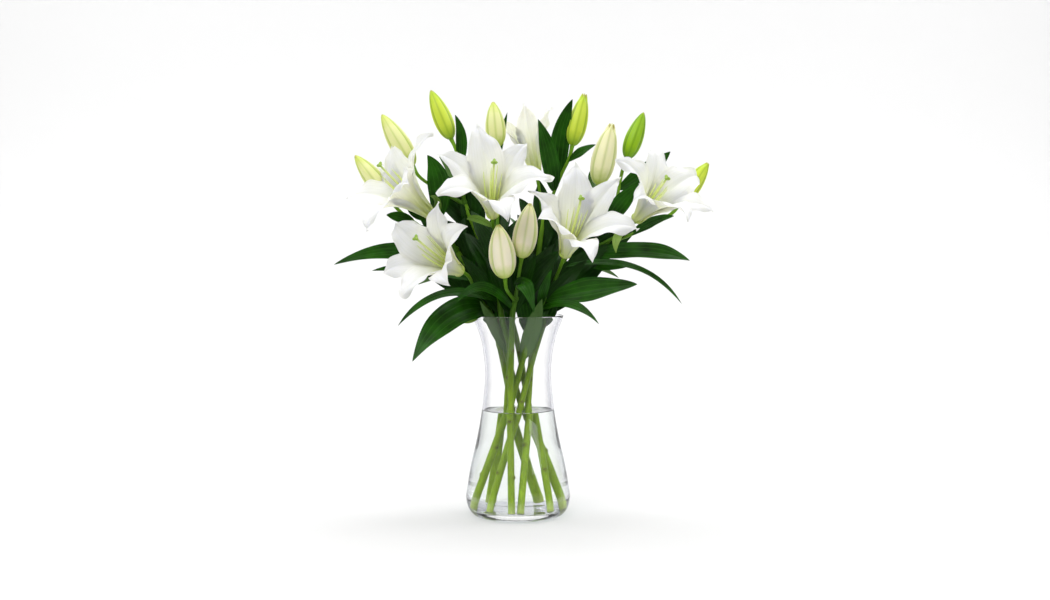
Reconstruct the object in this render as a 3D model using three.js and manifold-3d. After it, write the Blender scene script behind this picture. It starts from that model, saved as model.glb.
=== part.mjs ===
// A bunch of white trumpet lilies standing in a flared clear glass vase with water.
// Millimetres, +Z up; the origin is the centre of the vase's underside, -Y is the bunch's front.
// Every stem, whorl of petals, bud and leaf is one closed solid, and neighbours keep a small gap.
import * as THREE from "three";
import { ParametricGeometry } from "three/addons/geometries/ParametricGeometry.js";
import { mergeVertices } from "three/addons/utils/BufferGeometryUtils.js";
import Module from "manifold-3d";

const wasm = await Module();
wasm.setup();

// ---- driving dimensions ----
const GAP = 0.35; // clear distance between neighbouring solids
const CORNER_GROWTH = 1.6; // a grown solid's corners move this much further than its faces
const VASE_HEIGHT = 280;
const VASE_WALL = 3;
const VASE_FLOOR = 10; // thickness of the heavy glass base
const VASE_SIDES = 36;
// Outer radius of the vase at a height, from the top of the heel to the rim.
const VASE_OUTLINE = [
  [73.5, 27], [67, 68], [58, 108], [51, 148], [46.5, 198], [48.5, 226], [53, 250], [59.5, 268],
  [64, VASE_HEIGHT],
];
const VASE_HEEL = [[0, 0], [58, 0], [62.5, 1.5], [67, 6], [71.5, 15]]; // [radius, z] of the rounded foot
const VASE_BOWL = [[68, 17], [63, 12], [55, VASE_FLOOR], [0, VASE_FLOOR]]; // inside of the base
const LIP_RISE = 1; // the fire-polished lip is a little higher at its middle
const WATER_LEVEL = 147;
const WATER_BRIM_RADIUS = 47.6;
const WATER_BED = [[54.8, 10.6], [62.6, 12.5], [67.4, 17.2]]; // underside of the water, clear of the bowl
const STEM_RADIUS = 4.5;
const STEM_SIDES = 6;
const STEM_FOOT_Z = 12;
const WAIST_Z = 165; // height at which the crossed stems come closest together
const WAIST_RADIUS = 15.5;
const STEM_LEAN = 0.293; // sideways run of a stem for each millimetre of rise
const WAIST_TURN = 71; // degrees from a stem's foot to its waist point, about the vase's axis
const STRAIGHT_TOP_Z = 235;
const RIM_PASS_Z = 285; // the height of each stem's own point beside the rim
const PEDICEL_RADIUS = 2.3;
const PEDICEL_SIDES = 5;
const PEDICEL_APPROACH = 18; // last straight length of a pedicel, in line with its head
const KNUCKLE_RADIUS = 5.1; // swelling where a stem forks
const TEPAL_THICKNESS = 1.1;
const INNER_TEPAL_WIDTH = 52;
const OUTER_TEPAL_WIDTH = 41;
const TUBE_RADIUS = 6.5; // radius of the flower's tube where the petals start
const WHORL_STEP = 1.9; // the outer whorl's tube lies this much outside the inner one
const TEPAL_LEAN = 12; // degrees between a petal's foot and the flower's axis
const TEPAL_OPENING = 70; // growth of a petal's radius of hollow, across, from its foot to its tip
const OUTER_SEAT = { radius: 9.4, low: -3, high: 2 }; // disc that the outer petals stand on
const INNER_SEAT = { radius: 7.3, low: 2 + GAP, high: 5 + GAP };
const PISTIL_SEAT = { radius: 4.6, low: 6, high: 9 };
const OVARY = { radius: 2.6, low: 6, high: 32 };
const TEPAL_EDGE_THINNING = 0.6; // share of a petal's thickness that is lost towards its edge
const LEAF_THICKNESS = 0.9;
const GROWTH_STEPS = 80; // points along a stem or pedicel that a leaf can start from
const LEAF_FOLD = 0.18; // rise of a leaf's edge over its midrib, as a share of the half width
const BUD_LOBE_DEPTH = 0.09; // depth of the grooves between a bud's three lobes, as a share of its radius
const BUD_FOOT_RISE = 0.2; // height above a bud's foot at which its pedicel would touch it
const STYLE_LENGTH = 102;
const STYLE_RADIUS = 1.4;
const STIGMA_RADIUS = 4.2;
const FILAMENT_LENGTH = 86;
const FILAMENT_RADIUS = 0.9;
const FILAMENT_SPREAD = 15; // distance of a filament's tip from the style
const FILAMENT_DROOP = 0.7; // share of the style's own droop

const COLOURS = {
  glass: "#e4edf0", water: "#dcebea", stem: "#7fa33a", petal: "#f5f4f0", pistil: "#b9c95a",
  greenBud: "#a9c445", creamBud: "#e6ead0", leaf: "#2f6120",
};

// ---- closed solids from three.js geometry ----
// With grow above zero, every face moves outwards by about that much: a solid grown by the gap is what
// its neighbours are cut with.
function toSolid(geometry, grow = 0) {
  const bare = new THREE.BufferGeometry();
  bare.setAttribute("position", geometry.getAttribute("position").clone());
  if (geometry.index) bare.setIndex(geometry.index.clone());
  const merged = mergeVertices(bare, 1e-4);
  merged.computeVertexNormals();
  const corners = merged.index.array;
  let triangles = [];
  for (let i = 0; i < corners.length; i += 3) {
    const [a, b, c] = corners.slice(i, i + 3);
    if (a !== b && b !== c && c !== a) triangles.push(a, b, c);
  }
  const make = (vertProperties) => {
    const triVerts = new Uint32Array(triangles);
    return new wasm.Manifold(new wasm.Mesh({ numProp: 3, vertProperties, triVerts }));
  };
  const positions = merged.attributes.position.array;
  const solid = make(positions);
  const outward = solid.volume() > 0 ? 1 : -1;
  if (outward < 0) triangles = triangles.reverse();
  if (!grow) return outward > 0 ? solid : make(positions);
  const push = outward * grow * CORNER_GROWTH;
  return make(positions.map((value, i) => value + push * merged.attributes.normal.array[i]));
}

const union = (solids) => solids.reduce((whole, next) => whole.add(next));

const largestBody = (solid) =>
  solid.decompose().reduce((best, body) => (body.volume() > best.volume() ? body : best));

function toGeometry(solid) {
  const { numProp, numVert, vertProperties, triVerts } = solid.getMesh();
  const positions = new Float32Array(numVert * 3);
  for (let i = 0; i < numVert; i++) {
    positions.set(vertProperties.subarray(i * numProp, i * numProp + 3), i * 3);
  }
  const geometry = new THREE.BufferGeometry();
  geometry.setAttribute("position", new THREE.BufferAttribute(positions, 3));
  geometry.setIndex(new THREE.BufferAttribute(new Uint32Array(triVerts), 1));
  geometry.computeVertexNormals();
  return geometry;
}

const vec = (p) => new THREE.Vector3(...p);
const rad = THREE.MathUtils.degToRad;
const Z_AXIS = new THREE.Vector3(0, 0, 1);

// A solid of revolution about Z from [radius, z] points that start and end on the axis.
function turned(profile, sides, grow) {
  const geometry = new THREE.LatheGeometry(profile.map(([r, z]) => new THREE.Vector2(r, z)), sides);
  return toSolid(geometry.rotateX(Math.PI / 2), grow);
}

// A round rod of constant radius along a curve.
function rod(curve, radius, sides, steps, grow) {
  const section = new THREE.Shape();
  for (let i = 0; i < sides; i++) {
    const turn = (2 * Math.PI * i) / sides;
    section[i ? "lineTo" : "moveTo"](radius * Math.cos(turn), radius * Math.sin(turn));
  }
  return toSolid(new THREE.ExtrudeGeometry(section, { extrudePath: curve, steps, curveSegments: 1 }), grow);
}

// A thin blade with sharp edges: surface(s, c) gives the point and the face direction at s of its length
// and c of its half width (-1 to 1), and thickness(c) the full thickness there. The first row of faces
// closes the blade's foot over a short share of its length.
function blade(surface, thickness, across, rows, footShare, grow) {
  const shareAt = (row) =>
    (row < 1 ? row * footShare : footShare + (1 - footShare) * ((row - 1) / (rows - 1)));
  const point = (u, v, target) => {
    const s = shareAt(v * rows);
    const end = s <= 0 || s >= 1;
    const upper = u < 0.5;
    const c = upper ? 4 * u - 1 : 3 - 4 * u;
    const { position, face } = surface(s, end ? 0 : c);
    const half = end || Math.abs(c) === 1 ? 0 : thickness(c) / 2;
    target.copy(position).addScaledVector(face, upper ? half : -half);
  };
  const geometry = new ParametricGeometry(point, 2 * across, rows);
  alignDiagonals(geometry.index.array, across);
  return toSolid(geometry, grow);
}

// Turns the diagonals of a blade's lower face to match its upper face, so that a bent blade keeps its
// thickness.
function alignDiagonals(corners, across) {
  for (let quad = 0; 6 * quad < corners.length; quad++) {
    const [a, b, d, , c] = corners.slice(6 * quad, 6 * quad + 6);
    if (quad % (2 * across) >= across) corners.set([a, b, c, a, c, d], 6 * quad);
  }
}

// ---- vase and water ----
function vaseOutlinePoints() {
  const outline = new THREE.SplineCurve(VASE_OUTLINE.map(([r, z]) => new THREE.Vector2(r, z)));
  return outline.getPoints(9).map(({ x, y }) => [x, y]);
}

function vaseSolid(grow) {
  const outside = vaseOutlinePoints();
  const inside = outside.map(([r, z]) => [r - VASE_WALL, z]).reverse();
  const lip = [VASE_OUTLINE.at(-1)[0] - VASE_WALL / 2, VASE_HEIGHT + LIP_RISE];
  return turned([...VASE_HEEL, ...outside, lip, ...inside, ...VASE_BOWL], VASE_SIDES, grow);
}

function waterSolid(grow) {
  const wallGap = VASE_WALL + GAP * CORNER_GROWTH;
  const wetPoints = vaseOutlinePoints().filter(([, z]) => z < WATER_LEVEL - VASE_WALL);
  const side = wetPoints.map(([r, z]) => [r - wallGap, z]);
  const surface = [[WATER_BRIM_RADIUS, WATER_LEVEL], [0, WATER_LEVEL]];
  return turned([[0, WATER_BED[0][1]], ...WATER_BED, ...side, ...surface], VASE_SIDES, grow);
}

// ---- stems ----
// Seven stems stand in the vase as crossed straight rods, turned evenly about its axis, and the front one
// stands upright. Above the rim each follows its own points up to a fork, and a pedicel runs from the fork
// to each head: { to: where the head starts, along: the head's own direction, via: optional bends }.
function crossedPoints(footAngle) {
  const waistAngle = rad(footAngle + WAIST_TURN);
  return [STEM_FOOT_Z, (STEM_FOOT_Z + WAIST_Z) / 2, WAIST_Z, STRAIGHT_TOP_Z].map((z) => {
    const run = STEM_LEAN * (z - WAIST_Z);
    const x = WAIST_RADIUS * Math.cos(waistAngle) - run * Math.sin(waistAngle);
    const y = WAIST_RADIUS * Math.sin(waistAngle) + run * Math.cos(waistAngle);
    return [x, y, z];
  });
}

// The centre lines of a stem and of its pedicels, and the fork where they part.
function stemLines({ footAngle, standing = crossedPoints(footAngle), rim, above, heads }) {
  const points = [...standing, [...rim, RIM_PASS_Z], ...above].map(vec);
  const fork = points.at(-1);
  const pedicels = heads.map(({ to, along, via = [] }) => {
    const end = vec(to);
    const approach = end.clone().addScaledVector(vec(along).normalize(), -PEDICEL_APPROACH);
    return new THREE.CatmullRomCurve3([fork, ...via.map(vec), approach, end]);
  });
  return { main: new THREE.CatmullRomCurve3(points), fork, pedicels };
}

function stemSolid(stem, grow) {
  const { main, fork, pedicels } = stemLines(stem);
  const knuckle = new THREE.SphereGeometry(KNUCKLE_RADIUS, STEM_SIDES, 4);
  knuckle.translate(...fork.toArray());
  return union([
    rod(main, STEM_RADIUS, STEM_SIDES, 13, grow),
    toSolid(knuckle, grow),
    ...pedicels.map((path) => rod(path, PEDICEL_RADIUS, PEDICEL_SIDES, 4, grow)),
  ]);
}

// ---- flowers ----
// A flower's own frame: its axis is +Z, and turn 0 points up as seen along the axis.
function flowerMatrix(seat, axis) {
  const forward = vec(axis).normalize();
  const side = Z_AXIS.clone().cross(forward).normalize();
  const up = forward.clone().cross(side);
  return new THREE.Matrix4().makeBasis(up, side, forward).setPosition(...seat);
}

// The midrib of a petal bends away from the axis with the square of the distance along it.
function midrib(s, length, flare, startRadius) {
  const steps = 12;
  let radius = startRadius;
  let height = 0;
  for (let i = 0; i < steps; i++) {
    const angle = rad(TEPAL_LEAN + flare * ((s * (i + 0.5)) / steps) ** 2);
    radius += (Math.sin(angle) * s * length) / steps;
    height += (Math.cos(angle) * s * length) / steps;
  }
  return { radius, height, angle: rad(TEPAL_LEAN + flare * s * s) };
}

// Share of the full half width at s of a petal's length: narrow claw, broad middle, pointed tip.
const tepalOutline = (s) => 0.22 * (1 - s) ** 5 + Math.sin(Math.PI * s ** 1.25) ** 0.9;

function tepalSolid([turn, length, flare], width, startRadius, grow) {
  const azimuth = rad(turn);
  const outward = new THREE.Vector3(Math.cos(azimuth), Math.sin(azimuth), 0);
  const sideways = new THREE.Vector3(-Math.sin(azimuth), Math.cos(azimuth), 0);
  const surface = (s, c) => {
    const { radius, height, angle } = midrib(s, length, flare, startRadius);
    const inward = outward.clone().multiplyScalar(-Math.cos(angle)).setZ(Math.sin(angle));
    const bend = radius + TEPAL_OPENING * s * s; // radius of the petal's hollow across its width
    const swing = (c * width * tepalOutline(s)) / 2 / bend;
    const position = outward.clone().multiplyScalar(radius).setZ(height)
      .addScaledVector(sideways, bend * Math.sin(swing))
      .addScaledVector(inward, bend * (1 - Math.cos(swing)));
    const face = inward.clone().multiplyScalar(Math.cos(swing)).addScaledVector(sideways, -Math.sin(swing));
    return { position, face };
  };
  const thickness = (c) => TEPAL_THICKNESS * (1 - TEPAL_EDGE_THINNING * Math.abs(c));
  return blade(surface, thickness, 4, 6, 0.015, grow);
}

const disc = ({ radius, low, high }, sides, grow) =>
  turned([[0, low], [radius, low], [radius, high], [0, high]], sides, grow);

function whorlSolid(flower, outer, grow) {
  const startRadius = outer ? TUBE_RADIUS + WHORL_STEP : TUBE_RADIUS;
  const width = (outer ? OUTER_TEPAL_WIDTH : INNER_TEPAL_WIDTH) * (flower.size ?? 1);
  const raise = outer ? 0 : INNER_SEAT.low;
  const solids = flower.tepals
    .filter((_, i) => (i % 2 === 0) === outer)
    .map((tepal) => tepalSolid(tepal, width, startRadius, grow).translate([0, 0, raise]));
  return place(union([disc(outer ? OUTER_SEAT : INNER_SEAT, 9, grow), ...solids]), flower);
}

// Three-lobed pistil with its style and stigma, and six bare filaments around it, on one small disc.
function pistilSolid(flower, grow) {
  const size = flower.size ?? 1;
  const droop = vec(flower.styleBend ?? [0, 0, 0]);
  const arc = (radius, turn, length, bend) => {
    const at = (share, z) => new THREE.Vector3(radius * share, 0, z).applyAxisAngle(Z_AXIS, turn);
    const tip = at(1, length).addScaledVector(droop, bend);
    return new THREE.QuadraticBezierCurve3(at(0.28, PISTIL_SEAT.low), at(0.6, length * 0.55), tip);
  };
  const style = arc(0, 0, STYLE_LENGTH * size, 1);
  const stigma = new THREE.SphereGeometry(STIGMA_RADIUS, 5, 3);
  stigma.translate(...style.getPoint(1).toArray());
  const filaments = [30, 90, 150, 210, 270, 330].map((turn) => {
    const path = arc(FILAMENT_SPREAD * size, rad(turn), FILAMENT_LENGTH * size, FILAMENT_DROOP);
    return rod(path, FILAMENT_RADIUS, 3, 3, grow);
  });
  const centre = [disc(PISTIL_SEAT, 8, grow), disc(OVARY, 5, grow), rod(style, STYLE_RADIUS, 4, 4, grow)];
  return place(union([...centre, toSolid(stigma, grow), ...filaments]), flower);
}

function place(solid, { seat, axis }) {
  return solid.transform(flowerMatrix(seat, axis).toArray());
}

// ---- buds ----
// A bud is a blunt spindle with three shallow lobes, thickest low down and drawn to a point.
function budSolid({ base, tip, radius }, grow) {
  const foot = vec(base);
  const axis = vec(tip).sub(foot);
  const length = axis.length();
  const spindle = (u, s, target) => {
    const turn = 2 * Math.PI * u;
    const profile = Math.sin(Math.PI * Math.min(1, s ** 0.78)) ** 0.72;
    const lobes = 1 - BUD_LOBE_DEPTH * (1 - Math.cos(3 * turn)) * Math.min(1, 3 * s);
    const r = s === 0 || s === 1 ? 0 : radius * profile * lobes;
    target.set(r * Math.cos(turn), r * Math.sin(turn), length * s);
  };
  const solid = toSolid(new ParametricGeometry(spindle, 9, 8), grow);
  const leaning = new THREE.Quaternion().setFromUnitVectors(Z_AXIS, axis.normalize());
  return solid.transform(new THREE.Matrix4().makeRotationFromQuaternion(leaning).setPosition(foot).toArray());
}

// ---- leaves ----
// A lance-shaped leaf along a bent midrib, folded a little along it and facing about the given way.
function leafSolid({ base, bend, tip, width, face }, grow) {
  const curve = new THREE.QuadraticBezierCurve3(vec(base), vec(bend), vec(tip));
  const surface = (s, c) => {
    const along = curve.getTangent(s);
    const side = along.clone().cross(vec(face)).normalize();
    const normal = side.clone().cross(along);
    const half = 0.5 * width * Math.sin(Math.PI * s ** 0.8) ** 0.8;
    const position = curve.getPoint(s)
      .addScaledVector(side, half * c)
      .addScaledVector(normal, LEAF_FOLD * half * Math.abs(c));
    return { position, face: normal };
  };
  return blade(surface, () => LEAF_THICKNESS, 2, 8, 1 / 8, grow);
}

// ---- the bunch ----
// Petals: [turn about the axis in degrees, length, how far the tip bends back in degrees], an outer one
// first and then every other one.
const FLOWERS = [
  {
    name: "flower_left", seat: [-123, -5, 423], axis: [-0.67, -0.47, 0.57],
    tepals: [[36, 135, 100], [102, 128, 90], [165, 129, 105], [234, 120, 65], [288, 126, 115], [324, 115, 85]],
    styleBend: [8, 0, 0],
  },
  {
    name: "flower_low_left", seat: [-79, -60, 344], axis: [-0.54, -0.77, 0.34],
    tepals: [[9, 113, 66], [69, 129, 80], [128, 130, 80], [184, 122, 66], [250, 117, 112], [302, 120, 104]],
    styleBend: [10, 0, 0],
  },
  {
    name: "flower_top", seat: [-34, -60, 420], axis: [0, -0.77, 0.64],
    tepals: [[38, 116, 90], [105, 132, 85], [165, 132, 95], [234, 135, 85], [294, 123, 85], [345, 129, 85]],
    styleBend: [2, 4, 0],
  },
  {
    name: "flower_right_front", seat: [64, -65, 367], axis: [0.2, -0.74, 0.64],
    tepals: [[297, 120, 70], [6, 129, 90], [52, 132, 75], [117, 129, 80], [180, 129, 90], [245, 132, 60]],
    styleBend: [10, 0, 0],
  },
  {
    name: "flower_right", seat: [164, -25, 415], axis: [0.45, -0.67, 0.59],
    tepals: [[18, 117, 125], [72, 120, 120], [126, 116, 90], [189, 129, 75], [246, 125, 90], [296, 123, 95]],
    styleBend: [-10, -20, 0],
  },
  {
    name: "flower_back", seat: [25, 50, 485], axis: [-0.2, 0.1, 0.97], size: 0.72,
    tepals: [[0, 92, 35], [60, 95, 28], [120, 92, 25], [180, 96, 40], [240, 92, 62], [300, 95, 30]],
  },
];

const BUDS = [
  { name: "bud_far_left", base: [-179, 10, 442], tip: [-229, 10, 505], radius: 15, cream: true },
  { name: "bud_left_high", base: [-148, 20, 490], tip: [-192, 20, 563], radius: 16, cream: true },
  { name: "bud_left_top", base: [-94, 20, 528], tip: [-123, 20, 597], radius: 14 },
  { name: "bud_middle_top", base: [-29, 10, 516], tip: [-35, 10, 580], radius: 15, cream: true },
  { name: "bud_right_top", base: [77, 40, 520], tip: [95, 40, 595], radius: 14.5 },
  { name: "bud_right_opening", base: [112, 10, 463], tip: [132, 10, 550], radius: 18, cream: true },
  { name: "bud_right_high", base: [154, 30, 501], tip: [178, 30, 567], radius: 13.5 },
  { name: "bud_far_right", base: [226, 0, 438], tip: [266, 0, 494], radius: 14 },
  { name: "bud_front_left", base: [-17, -80, 334], tip: [-26, -84, 407], radius: 19, cream: true },
  { name: "bud_front_right", base: [5, -62, 361], tip: [17, -66, 436], radius: 17.5, cream: true },
];

// The end of a pedicel: a gap's width below the flower's seat or at the bud's rounded foot.
const headAt = (point, axis, offset, via) =>
  ({ to: vec(point).addScaledVector(vec(axis).normalize(), offset).toArray(), along: axis, via });
const toFlower = (name, via) => {
  const { seat, axis } = FLOWERS.find((flower) => flower.name === name);
  return headAt(seat, axis, OUTER_SEAT.low - GAP, via);
};
const toBud = (name, via) => {
  const { base, tip } = BUDS.find((bud) => bud.name === name);
  return headAt(base, vec(tip).sub(vec(base)).toArray(), BUD_FOOT_RISE - GAP, via);
};

const STEMS = [
  {
    name: "stem_1", footAngle: 68, rim: [-39, -17], above: [[-58, -16, 308]],
    heads: [toFlower("flower_low_left")],
  },
  {
    name: "stem_2", footAngle: 17, rim: [-38, 19], above: [[-62, 30, 330], [-88, 28, 372]],
    heads: [toFlower("flower_left"), toBud("bud_far_left", [[-142, 18, 408]])],
  },
  {
    name: "stem_3", footAngle: 326, rim: [-14, 40], above: [[-40, 52, 350], [-78, 46, 440]],
    heads: [toBud("bud_left_high"), toBud("bud_left_top")],
  },
  {
    name: "stem_4", rim: [-7, -44], above: [[-3, -46, 306]],
    standing: [[-8, -50, 12], [-9, -39, 88], [-10, -28, 165], [-9, -35, 235]],
    heads: [toBud("bud_front_left"), toBud("bud_front_right")],
  },
  {
    name: "stem_5", footAngle: 120, rim: [-23, -35], above: [[-27, -24, 340], [-30, -8, 385]],
    heads: [toFlower("flower_top", [[-33, -26, 400]]), toBud("bud_middle_top", [[-27, 8, 470]])],
  },
  {
    name: "stem_6", footAngle: 274, rim: [27, 32], above: [[28, 44, 350], [36, 50, 420]],
    heads: [toFlower("flower_back"), toBud("bud_right_top", [[62, 48, 480]])],
  },
  {
    name: "stem_7", footAngle: 171, rim: [26, -33], above: [[48, -24, 322]],
    heads: [toFlower("flower_right_front", [[56, -36, 343]]), toBud("bud_right_opening", [[86, -4, 400]])],
  },
  {
    name: "stem_8", footAngle: 223, rim: [43, -1], above: [[72, 16, 330], [112, 12, 378]],
    heads: [
      toFlower("flower_right"),
      toBud("bud_right_high", [[138, 22, 440]]),
      toBud("bud_far_right", [[178, 6, 402]]),
    ],
  },
];

// Every leaf grows from a stem. It starts on the centre line of the nearest stem or pedicel, at the point
// nearest to its stated base, and its assembly trims it back from the stem's skin.
const growthPoints = STEMS.map(stemLines).flatMap(({ main, pedicels }) =>
  [main, ...pedicels].flatMap((line) => line.getPoints(GROWTH_STEPS)));

function growingFrom(base) {
  const from = vec(base);
  const nearer = (best, next) => (next.distanceTo(from) < best.distanceTo(from) ? next : best);
  return growthPoints.reduce(nearer).toArray();
}

// Leaves: [name, base, bend, tip, width, the way its upper face looks].
const LEAVES = [
  ["leaf_far_left", [-59, 2, 350], [-162, -20, 392], [-253, -35, 352], 27, [0, -0.9, 0.5]],
  ["leaf_left_narrow", [-59, -30, 340], [-136, -28, 357], [-199, -50, 344], 16, [0, -0.9, 0.5]],
  ["leaf_left_arching", [-34, -38, 301], [-108, -62, 339], [-160, -90, 271], 16, [0, -0.7, 0.7]],
  ["leaf_left_hanging", [-45, -22, 290], [-94, -62, 303], [-141, -88, 223], 46, [-0.3, -1, 0.35]],
  ["leaf_front_arching", [-8, -50, 290], [-49, -92, 350], [-82, -112, 301], 15, [0, -0.9, 0.4]],
  ["leaf_front_right", [26, -46, 292], [73, -78, 315], [108, -100, 274], 17, [0.2, -0.8, 0.6]],
  ["leaf_right_broad", [46, -34, 300], [102, -64, 320], [159, -100, 327], 38, [-0.1, -0.8, 0.6]],
  ["leaf_right_arching", [82, -30, 339], [169, -50, 376], [220, -84, 300], 12, [0.2, -0.7, 0.7]],
  ["leaf_far_right", [111, -6, 356], [183, -40, 378], [232, -70, 358], 34, [-0.1, -0.75, 0.65]],
  ["leaf_top_upright", [50, 34, 472], [53, 46, 534], [77, 26, 585], 28, [0.1, -1, 0.1]],
  ["leaf_top_middle", [50, 6, 455], [46, -2, 505], [28, -4, 554], 26, [0.1, -1, 0.1]],
  ["leaf_top_left", [-73, 22, 490], [-74, 14, 531], [-88, 4, 561], 16, [0.1, -1, 0.2]],
  ["leaf_left_glossy", [-93, 4, 436], [-102, 10, 474], [-127, 6, 505], 33, [-0.2, -0.95, 0.2]],
  ["leaf_right_inner", [128, 4, 410], [146, -2, 444], [170, -12, 463], 25, [0.1, -0.95, 0.3]],
  ["leaf_right_behind", [171, 22, 452], [190, 26, 487], [215, 22, 511], 24, [0.2, -0.95, 0.2]],
  ["leaf_neck_right", [4, -26, 221], [20, -38, 264], [33, -58, 306], 24, [0.1, 1, -0.2]],
  ["leaf_neck_left", [-14, -27, 227], [-30, -28, 262], [-52, -50, 303], 16, [-0.2, 1, -0.2]],
  ["leaf_back_left", [-30, 48, 300], [-80, 110, 360], [-150, 128, 320], 34, [-0.3, 0.6, 0.75]],
  ["leaf_back_right", [40, 44, 310], [85, 112, 370], [150, 130, 330], 34, [0.3, 0.6, 0.75]],
  ["leaf_back_middle", [8, 50, 330], [5, 104, 400], [-12, 142, 420], 30, [0, 0.6, 0.7]],
  ["leaf_back_high_left", [-60, 44, 420], [-84, 96, 480], [-118, 110, 512], 26, [-0.2, 0.9, 0.5]],
  ["leaf_back_high_right", [96, 30, 440], [110, 84, 482], [128, 112, 500], 26, [0.2, 0.9, 0.5]],
].map(([name, base, bend, tip, width, face]) => ({ name, base: growingFrom(base), bend, tip, width, face }));

// ---- assembly: each piece is trimmed back from the pieces that were placed before it ----
const group = new THREE.Group();
const placed = [];

function addPiece(name, colour, roughness, build, opacity = 1) {
  let solid = build(0);
  const box = solid.boundingBox();
  for (const other of placed) {
    const apart = [0, 1, 2].some((k) => box.min[k] > other.box.max[k] || box.max[k] < other.box.min[k]);
    if (!apart) solid = solid.subtract(other.grown);
  }
  solid = largestBody(solid);
  const grown = build(GAP).add(build(0));
  placed.push({ box: grown.boundingBox(), grown });
  const material = new THREE.MeshStandardMaterial({
    color: colour, roughness, metalness: 0, transparent: opacity < 1, opacity,
  });
  const mesh = new THREE.Mesh(toGeometry(solid), material);
  mesh.name = name;
  group.add(mesh);
}

addPiece("vase", COLOURS.glass, 0.05, vaseSolid, 0.35);
for (const stem of STEMS) addPiece(stem.name, COLOURS.stem, 0.5, (grow) => stemSolid(stem, grow));
for (const flower of FLOWERS) {
  addPiece(`${flower.name}_inner_petals`, COLOURS.petal, 0.45, (grow) => whorlSolid(flower, false, grow));
  addPiece(`${flower.name}_outer_petals`, COLOURS.petal, 0.45, (grow) => whorlSolid(flower, true, grow));
  addPiece(`${flower.name}_pistil`, COLOURS.pistil, 0.5, (grow) => pistilSolid(flower, grow));
}
for (const bud of BUDS) {
  const colour = bud.cream ? COLOURS.creamBud : COLOURS.greenBud;
  addPiece(bud.name, colour, 0.45, (grow) => budSolid(bud, grow));
}
for (const leaf of LEAVES) addPiece(leaf.name, COLOURS.leaf, 0.35, (grow) => leafSolid(leaf, grow));
addPiece("water", COLOURS.water, 0.02, waterSolid, 0.3);

export default group;
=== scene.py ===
"""White trumpet lilies in a flared clear glass vase of water: the surfaces seen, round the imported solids."""
from math import radians
import bpy
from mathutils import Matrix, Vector
import numpy as np


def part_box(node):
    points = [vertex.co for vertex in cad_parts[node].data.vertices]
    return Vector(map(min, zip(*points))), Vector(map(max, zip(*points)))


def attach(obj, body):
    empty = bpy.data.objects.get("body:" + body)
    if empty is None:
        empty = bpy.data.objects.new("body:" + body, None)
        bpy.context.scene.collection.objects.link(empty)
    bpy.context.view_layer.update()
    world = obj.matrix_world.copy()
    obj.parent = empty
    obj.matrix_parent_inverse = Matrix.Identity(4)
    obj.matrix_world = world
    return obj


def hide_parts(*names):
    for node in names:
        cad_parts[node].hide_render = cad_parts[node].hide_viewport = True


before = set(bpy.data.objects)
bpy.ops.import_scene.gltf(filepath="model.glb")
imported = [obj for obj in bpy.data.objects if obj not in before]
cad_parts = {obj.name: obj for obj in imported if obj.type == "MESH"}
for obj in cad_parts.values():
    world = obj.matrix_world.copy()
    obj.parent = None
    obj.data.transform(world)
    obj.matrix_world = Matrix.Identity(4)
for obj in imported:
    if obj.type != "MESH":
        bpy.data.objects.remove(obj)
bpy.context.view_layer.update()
scene = bpy.context.scene

# ---------------------------------------------------------------------------------------------
# Camera. It stands a little under two metres in front, just above the middle of the bunch,
# and looks slightly down, so that the vase's rim and the waterline show as thin ellipses.
camera = bpy.data.objects.new("camera", bpy.data.cameras.new("camera"))
camera.data.lens = 46.5
camera.data.sensor_width = 36
camera.location = (0.0098, -1.9, 0.379)
camera.rotation_euler = (radians(90 - 2.32), 0, 0)
scene.collection.objects.link(camera)
scene.camera = camera

# ---------------------------------------------------------------------------------------------
# Vase. One piece of clear soda-lime glass, blown in a mould: a thick rounded heel, a waist and a
# flared, fire-polished rim. Its wall is about 3 mm and its floor about 10 mm.
VASE_WALL = 3  # mm
VASE_OUTLINE = np.array([  # outer radius and height, mm, from the top of the heel to the rim
    (73.5, 27), (67, 68), (58, 108), (51, 148), (46.5, 198), (48.5, 226), (53, 250), (59.5, 268), (64, 280)])
VASE_HEEL = np.array([(0, 0), (56, 0), (60, 0.4), (63.5, 2.0), (67, 5.6), (70, 10.5), (72.4, 18)])
VASE_BOWL = np.array([(69.8, 24), (68.6, 18.2), (65, 13.6), (60, 11.2), (53, 10.2), (30, 9.6), (0, 9.4)])


def linear(hex_colour):
    """sRGB hex to linear RGBA: each channel goes through the sRGB curve's inverse."""
    srgb = np.array([int(hex_colour[i:i + 2], 16) / 255 for i in (1, 3, 5)])
    rgb = np.where(srgb <= 0.04045, srgb / 12.92, ((srgb + 0.055) / 1.055) ** 2.4)
    return (*rgb, 1.0)


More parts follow.
